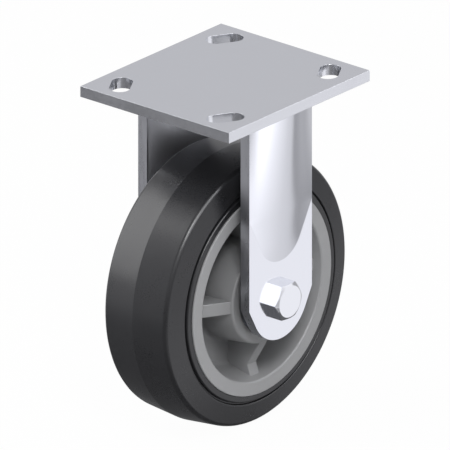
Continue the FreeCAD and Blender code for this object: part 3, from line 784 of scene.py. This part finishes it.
def make_washer(zinc):
    outer = WASHER_LOW.x / MM
    inner = WASHER_HIGH.x / MM
    bm = bmesh.new()
    turn_outline(bm, [(outer, BOLT_HOLE), (outer, WASHER_REACH), (inner, WASHER_REACH), (inner, BOLT_HOLE)])
    make_piece("flat_washer", bm, "fork", ["nut_washer"], zinc,
               settings()[0].fastener_edge, 30.0, 2)


def make_nut(zinc):
    base = WASHER_LOW.x / MM
    shoulder = base - NUT_HEIGHT
    end = NUT_END / MM
    collar = [(shoulder, NUT_CIRCLE), (shoulder - 0.3, 9.25), (end + 1.0, 9.18), (end + 0.4, 8.95),
              (end, 8.3), (end, 7.4), (end + 1.0, 7.4), (end + 1.0, 7.98), (shoulder, 7.98),
              (shoulder, BOLT_HOLE), (base, BOLT_HOLE)]
    moves = [to_radius(base, NUT_CIRCLE), to_hexagon(base, ACROSS_FLATS, NUT_CIRCLE),
             to_hexagon(shoulder, ACROSS_FLATS, NUT_CIRCLE + 0.1, -1)]
    moves += [to_radius(x, radius) for x, radius in collar]
    bm = bmesh.new()
    pull_through(bm, ring_of(bm, base, BOLT_HOLE), moves)
    make_piece("lock_nut_body", bm, "fork", ["lock_nut"], zinc,
               settings()[0].fastener_edge, 24.0, 2)


def make_fasteners():
    colours = settings()[1]
    zinc = plated("bolt_zinc", colours.bolt_zinc, 0.10, (1.0, 1.0, 1.0))
    make_bolt(zinc)
    make_washer(zinc)
    make_nut(zinc)
    dress(["nut_insert"], nylon_finish("nylon", colours.nylon))


# Bearings, sleeve and spacers
def make_axle_dressing():
    colours = settings()[1]
    dress(["axle_sleeve", "bearing_spacer", "end_spacer_right", "end_spacer_left"],
          turned_finish("sleeve_steel", colours.turned_steel, 0.3))
    dress(["bearing_inner_ring_right", "bearing_inner_ring_left", "bearing_outer_ring_right",
           "bearing_outer_ring_left", "balls_right", "balls_left"],
          turned_finish("bearing_steel", colours.bearing_steel, 0.16))
    pressed = turned_finish("cage_steel", colours.pressed_steel, 0.34, 2500.0)
    dress(["ball_cage_right", "ball_cage_left", "bearing_shield_right_inner", "bearing_shield_left_inner"],
          pressed)
    for side, way in (("right", 1), ("left", -1)):
        low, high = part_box(f"bearing_shield_{side}_outer")
        outer = max(abs(low.x), abs(high.x)) / MM
        inner = min(abs(low.x), abs(high.x)) / MM
        reach = high.y / MM
        bm = bmesh.new()
        outline = [(outer, reach), (outer, reach - 0.9), (outer - 0.3, reach - 1.3), (outer - 0.3, 13.6),
                   (outer, 13.1), (outer, 12.1), (inner, 12.1), (inner, reach)]
        turn_outline(bm, [(way * x, radius) for x, radius in outline])
        make_piece(f"pressed_shield_{side}", bm, "wheel", [f"bearing_shield_{side}_outer"],
                   pressed, 0.12 * MM, 25.0, 2)


# Wheel core: hub, web, rim and four ribs in one moulding
def add_rib(bm, side, half_width, turn):
    """Adds a rib of the outline that its side has, turned about the axle."""
    rib = bmesh.new()
    across = Vector((0, half_width * MM, 0))
    verts = chain(rib, [on_axle(x, radius) - across for x, radius in side])[0]
    made = bmesh.ops.extrude_face_region(rib, geom=[rib.faces.new(verts)], use_keep_orig=True)["geom"]
    bmesh.ops.translate(rib, verts=verts_in(made), vec=2 * across)
    bmesh.ops.recalc_face_normals(rib, faces=rib.faces)
    bmesh.ops.rotate(rib, verts=rib.verts, cent=AXLE, matrix=Matrix.Rotation(turn, 3, "X"))
    spare = end_mesh("rib", rib)
    bm.from_mesh(spare)
    bpy.data.meshes.remove(spare)


def make_wheel_core():
    sizes, colours = settings()
    hub_half = HUB_END / MM
    hub_draft = math.tan(math.radians(7.0))
    rim_draft = math.tan(math.radians(12.5))
    web = 5.0
    hub_edge = (hub_half, 26.95)
    rim_edge = (25.6, 48.4)
    rim_outer = (25.6, 56.0)
    hub_foot = (web, hub_edge[1] + (hub_half - web) * hub_draft)
    rim_foot = (web, rim_edge[1] - (rim_edge[0] - web) * rim_draft)
    half = [(14.6, 17.4), (14.6, 20.0), (hub_half - 1.0, 20.0), (hub_half, 21.0), hub_edge, hub_foot,
            rim_foot, rim_edge, rim_outer, (22.4, 56.0), (20.2, 58.2)]
    rounds = [(*hub_edge, 1.2), (*hub_foot, 2.2), (*rim_foot, 2.2), (*rim_edge, 1.0), (*rim_outer, 0.5)]
    bm = bmesh.new()
    turn_outline(bm, mirrored(half), both_sides(rounds))
    rib_slope = math.tan(math.radians(30.0))
    rib_top = hub_half - 1.2
    rib_bend = 41.3
    rib_low = rib_top - (rib_bend - hub_edge[1]) * rib_slope
    side = [(rib_top, 24.55), (rib_top, hub_edge[1]), (rib_low, rib_bend), (rib_low + 2.6, rim_edge[1]),
            (rib_low + 2.6, 49.5)]
    for quarter in range(4):
        add_rib(bm, mirrored(side), 3.6, quarter * math.pi / 2)
    material = plastic_finish("core_plastic", colours.wheel_plastic)
    make_piece("moulded_core", bm, "wheel", ["wheel_core"], material,
               sizes.moulded_edge, 24.0)


# Tyre
def make_tyre():
    sizes, colours = settings()
    lip = (24.7, 59.7)
    groove = (24.2, 60.8)
    tread_edge = (20.9, 73.3)
    crest = 75.3
    half = [(20.2, 58.2), (22.4, 56.0), (24.7, 56.0), lip, (22.6, 59.7), (22.6, 60.8), groove, tread_edge]
    rounds = [(*tread_edge, 2.0), (*lip, 0.9), (*groove, 0.9)]
    bm = bmesh.new()
    turn_outline(bm, [*half, (0.0, crest), *mirrored(half)[len(half):]], both_sides(rounds))
    for edge in bm.edges:
        edge.smooth = not all(on_ring(vert, 0.0, crest) for vert in edge.verts)
    material = rubber_finish("tyre_rubber", colours.tyre_rubber)
    make_piece("rubber_tyre", bm, "wheel", ["tyre"], material,
               sizes.rubber_edge, 24.0, 2)


# Weld beads
BEAD_STATIONS = (0.5 * MM, 0.35 * MM, 0.4 * MM)  # spacing of the cuts across x, y and z
BEAD_FACES = (-0.92, -0.35)  # how far the fillet's sloping faces look down


def make_weld_bead(crown, ripple, pitch):
    """The right weld's plain fillet, cut finely and raised between its toes into a rippled bead."""
    bm = bmesh.new()
    bm.from_mesh(frame["nodes"]["weld_right"].data)
    bmesh.ops.remove_doubles(bm, verts=bm.verts, dist=2e-6)
    low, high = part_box("weld_right")
    for axis, step in enumerate(BEAD_STATIONS):
        across = Vector([float(axis == k) for k in range(3)])
        cuts = round((high[axis] - low[axis]) / step)
        for k in range(1, cuts):
            point = across * (low[axis] + (high[axis] - low[axis]) * k / cuts)
            bmesh.ops.bisect_plane(bm, geom=bm.verts[:] + bm.edges[:] + bm.faces[:], dist=1e-7,
                                   plane_co=point, plane_no=across)
    bm.normal_update()
    lifts = {}
    for vert in bm.verts:
        if all(BEAD_FACES[0] < face.normal.z < BEAD_FACES[1] for face in vert.link_faces):
            up = (vert.co.z - low[2]) / (high[2] - low[2])
            run = vert.co.y if abs(vert.co.y) < LEG_HALF * MM else vert.co.x
            wave = abs(math.sin(math.pi * (run / pitch + 0.9 * (2 * up - 1) ** 2)))
            lifts[vert] = vert.normal * (crown + ripple * wave) * math.sin(math.pi * up)
    for vert, lift in lifts.items():
        vert.co += lift
    for edge in bm.edges:
        edge.smooth = edge.calc_face_angle(0.0) < math.radians(50)
    return bm


def make_welds():
    sizes, colours = settings()
    material = weld_finish("weld_steel", colours.weld_zinc)
    for side in ("right", "left"):
        bm = make_weld_bead(sizes.weld_crown, sizes.weld_ripple, sizes.weld_pitch)
        bmesh.ops.rotate(bm, verts=bm.verts, cent=(0, 0, 0), matrix=turned_half_round(side))
        make_piece(f"weld_bead_{side}", bm, "fork", [f"weld_{side}"], material)


# Stage: floor, soft lamps, a room whose grey panels only reflections see, and the camera
VIEW_CENTRE = mm(18.5, -22.0, -71.1)
LAMP_AIM = mm(0, 0, -90)
EYES_WHITE = 0.975  # share of the floor that shows plain white; the rest shows the shadow

# Panels go by degrees from +X towards +Y, each with its lightness
PANELS_LOW = ((-180, 0.20), (-172, 0.22), (-95, 0.22), (-40, 0.30), (-14, 1.50), (12, 1.50), (22, 1.38),
              (33, 1.12), (41, 0.98), (52, 0.79), (58, 0.73), (62, 0.37), (75, 0.52), (95, 0.42), (120, 0.22),
              (150, 0.22), (172, 0.22), (180, 0.20))
PANELS_BELOW = ((-180, 0.18), (-95, 0.18), (-40, 0.28), (-14, 0.50), (8, 0.90), (18, 1.10), (48, 1.07),
                (57, 0.85), (62, 0.34), (75, 0.42), (95, 0.62), (120, 0.5), (150, 0.9), (172, 0.9),
                (180, 0.20))
PANELS_LEVEL = ((-180, 0.45), (-160, 0.85), (-132, 0.92), (-112, 0.50), (-90, 0.30), (-40, 0.30), (-14, 0.50),
                (8, 0.90), (18, 1.10), (48, 1.07), (57, 0.85), (62, 0.34), (75, 0.42), (95, 0.62), (120, 0.5),
                (150, 0.9), (180, 0.45))
PANELS_ABOVE = ((-180, 0.74), (-12, 0.72), (8, 0.80), (30, 1.05), (58, 1.05), (66, 0.45), (86, 0.45),
                (100, 0.66), (165, 0.66), (180, 0.74))
STRAIGHT_DOWN = 0.14

# Each band of panels takes over from what lies below it between two heights, from -1 straight down to
# 1 straight up
BANDS = ((-0.68, -0.60, PANELS_LOW), (-0.44, -0.39, PANELS_BELOW), (-0.32, -0.27, PANELS_LEVEL),
         (-0.08, 0.08, PANELS_ABOVE))

# Small lights that edges catch: the way to each, the cosine of its half width, and its lightness
EDGE_LIGHTS = (
    (Vector((0.830, -0.100, -0.550)), 0.985, 0.35),
    (Vector((0.597, -0.679, 0.427)), 0.986, 1.7),
    (Vector((0.704, -0.062, 0.707)), 0.91, 6.0),
    (Vector((0.288, 0.646, 0.707)), 0.91, 3.6),
)
EDGE_LIGHT_CORE = 0.65  # how far in from its rim an edge light reaches its full lightness


def direction(turn, rise):
    """Unit vector towards a camera or lamp at a turn and a rise, as the views count them."""
    return Vector((math.sin(turn) * math.cos(rise), -math.cos(turn) * math.cos(rise), math.sin(rise)))


def add_lamp(name, turn, rise, distance, size, power):
    data = bpy.data.lights.new(name, "AREA")
    data.shape = "RECTANGLE"
    data.size, data.size_y = size
    data.energy = power
    lamp = put_in_scene(name, data)
    back = direction(math.radians(turn), math.radians(rise))
    lamp.location = LAMP_AIM + back * distance
    lamp.rotation_euler = back.to_track_quat("Z", "Y").to_euler()


def light_room(world, light):
    """White walls, with soft grey panels that only what shines shows, and an even light from all round."""
    room = Nodes(world.node_tree)
    x, y, z = room.split(room.add("ShaderNodeTexCoord", output="Object"))
    turn = y.math("ARCTAN2", x) / math.tau + 0.5

    def grey(level):
        return (level, level, level * 1.04, 1)

    walls = grey(STRAIGHT_DOWN)
    for start, full, panels in BANDS:
        stops = [(at / 360 + 0.5, grey(level)) for at, level in panels]
        band = room.add("ShaderNodeValToRGB", {0: turn}, stops=stops)
        walls = room.between(room.remap(z, start, full, 0.0, 1.0), walls, band)
    for way, start, level in EDGE_LIGHTS:
        facing = x * way.x + y * way.y + z * way.z
        full = start + (1 - start) * EDGE_LIGHT_CORE
        walls = room.between(room.remap(facing, start, full, 0.0, 1.0), walls, grey(level))
    eye, shiny, through = room.read("ShaderNodeLightPath", "Is Camera Ray", "Is Glossy Ray",
                                    "Is Transmission Ray")
    ends = room.remap(x.math("ABSOLUTE"), 0.45, 0.85, light, light * 0.45)
    colour = room.between(eye + through, ends, (1, 1, 1, 1))
    colour = room.between(shiny, colour, walls)
    sky = room.add("ShaderNodeBackground", {"Color": colour, "Strength": 1.0})
    room.add("ShaderNodeOutputWorld", {"Surface": sky})


def make_floor(stage):
    """A pale floor, white to the eye and in metal and glass, that keeps the castor's shadow."""
    bm = bmesh.new()
    bmesh.ops.create_circle(bm, cap_ends=True, radius=4.0, segments=64,
                            matrix=Matrix.Translation((0, 0, FLOOR)))
    finish = Finish("studio_floor")
    clouds = finish.grain(finish.place(), 3.0)
    pale = finish.between(clouds, shade(stage.floor_colour, 0.99), shade(stage.floor_colour, 1.01))
    matt = finish.add("ShaderNodeBsdfDiffuse", {"Color": pale})
    white = finish.add("ShaderNodeEmission", {"Color": (1, 1, 1, 1), "Strength": 1.0})
    eye, shiny, through = finish.read("ShaderNodeLightPath", "Is Camera Ray", "Is Glossy Ray",
                                      "Is Transmission Ray")
    seen = (eye + shiny + through) * EYES_WHITE
    lit = finish.add("ShaderNodeMixShader", {0: seen, 1: matt, 2: white})
    finish.add("ShaderNodeOutputMaterial", {"Surface": lit})
    floor = put_in_scene("studio_floor", end_mesh("studio_floor", bm))
    floor.data.materials.append(finish.material)
    floor.visible_glossy = False


def make_stage():
    stage = bpy.context.scene.castor_stage
    scene = bpy.context.scene
    make_floor(stage)
    scene.world = bpy.data.worlds.new("studio")
    scene.world.use_nodes = True
    light_room(scene.world, stage.room_light)
    add_lamp("side_lamp", 50, 44, 1.3, (0.36, 0.36), stage.side_lamp)
    add_lamp("high_lamp", -61, 28, 1.2, (0.85, 1.15), stage.high_lamp)

    data = bpy.data.cameras.new("photo_camera")
    data.type = "ORTHO"
    data.ortho_scale = stage.view_width
    data.clip_end = 20.0
    camera = put_in_scene("photo_camera", data)
    back = direction(stage.view_turn, stage.view_rise)
    camera.location = VIEW_CENTRE + back * 1.2
    camera.rotation_euler = back.to_track_quat("Z", "Y").to_euler()
    scene.camera = camera
    scene.view_settings.view_transform = "Standard"


# Operators, one for each piece or group of like pieces, and the panel that lists them
class AddPlate(bpy.types.Operator):
    """Makes the slotted top plate"""
    bl_idname = "castor.add_plate"
    bl_label = "Top plate"

    def execute(self, context):
        make_plate()
        return {"FINISHED"}


class AddLegs(bpy.types.Operator):
    """Makes the two pressed legs"""
    bl_idname = "castor.add_legs"
    bl_label = "Legs"

    def execute(self, context):
        make_legs()
        return {"FINISHED"}


class AddWelds(bpy.types.Operator):
    """Makes the weld beads between the legs and the plate"""
    bl_idname = "castor.add_welds"
    bl_label = "Welds"

    def execute(self, context):
        make_welds()
        return {"FINISHED"}


class AddFasteners(bpy.types.Operator):
    """Makes the axle bolt, its washer and its lock nut"""
    bl_idname = "castor.add_fasteners"
    bl_label = "Bolt, washer and nut"

    def execute(self, context):
        make_fasteners()
        return {"FINISHED"}


class AddBearings(bpy.types.Operator):
    """Finishes the sleeve, the spacers and the two bearings"""
    bl_idname = "castor.add_bearings"
    bl_label = "Bearings and sleeve"

    def execute(self, context):
        make_axle_dressing()
        return {"FINISHED"}


class AddWheelCore(bpy.types.Operator):
    """Makes the moulded wheel core"""
    bl_idname = "castor.add_wheel_core"
    bl_label = "Wheel core"

    def execute(self, context):
        make_wheel_core()
        return {"FINISHED"}


class AddTyre(bpy.types.Operator):
    """Makes the rubber tyre"""
    bl_idname = "castor.add_tyre"
    bl_label = "Tyre"

    def execute(self, context):
        make_tyre()
        return {"FINISHED"}


class AddStage(bpy.types.Operator):
    """Sets up the floor, the room, the lamps and the camera"""
    bl_idname = "castor.add_stage"
    bl_label = "Stage"

    def execute(self, context):
        make_stage()
        return {"FINISHED"}


PIECES = (AddPlate, AddLegs, AddWelds, AddFasteners, AddBearings, AddWheelCore, AddTyre, AddStage)


class CastorPanel(bpy.types.Panel):
    bl_idname = "VIEW3D_PT_castor"
    bl_label = "Fixed castor"
    bl_space_type = "VIEW_3D"
    bl_region_type = "UI"
    bl_category = "Castor"

    def draw(self, context):
        for group in (context.scene.castor_sizes, context.scene.castor_colours, context.scene.castor_stage):
            box = self.layout.box()
            for name in group.bl_rna.properties.keys():
                if name not in ("rna_type", "name"):
                    box.prop(group, name)
        for operator in PIECES:
            self.layout.operator(operator.bl_idname)


CLASSES = (CastorSizes, CastorColours, CastorStage, *PIECES, CastorPanel)


def register():
    for kind in CLASSES:
        bpy.utils.register_class(kind)
    bpy.types.Scene.castor_sizes = PointerProperty(type=CastorSizes)
    bpy.types.Scene.castor_colours = PointerProperty(type=CastorColours)
    bpy.types.Scene.castor_stage = PointerProperty(type=CastorStage)


def unregister():
    del bpy.types.Scene.castor_stage
    del bpy.types.Scene.castor_colours
    del bpy.types.Scene.castor_sizes
    for kind in reversed(CLASSES):
        bpy.utils.unregister_class(kind)


def main():
    register()
    bpy.ops.castor.add_stage()
    bpy.ops.castor.add_plate()
    bpy.ops.castor.add_legs()
    bpy.ops.castor.add_welds()
    bpy.ops.castor.add_fasteners()
    bpy.ops.castor.add_bearings()
    bpy.ops.castor.add_wheel_core()
    bpy.ops.castor.add_tyre()


if __name__ == "__main__":
    main()
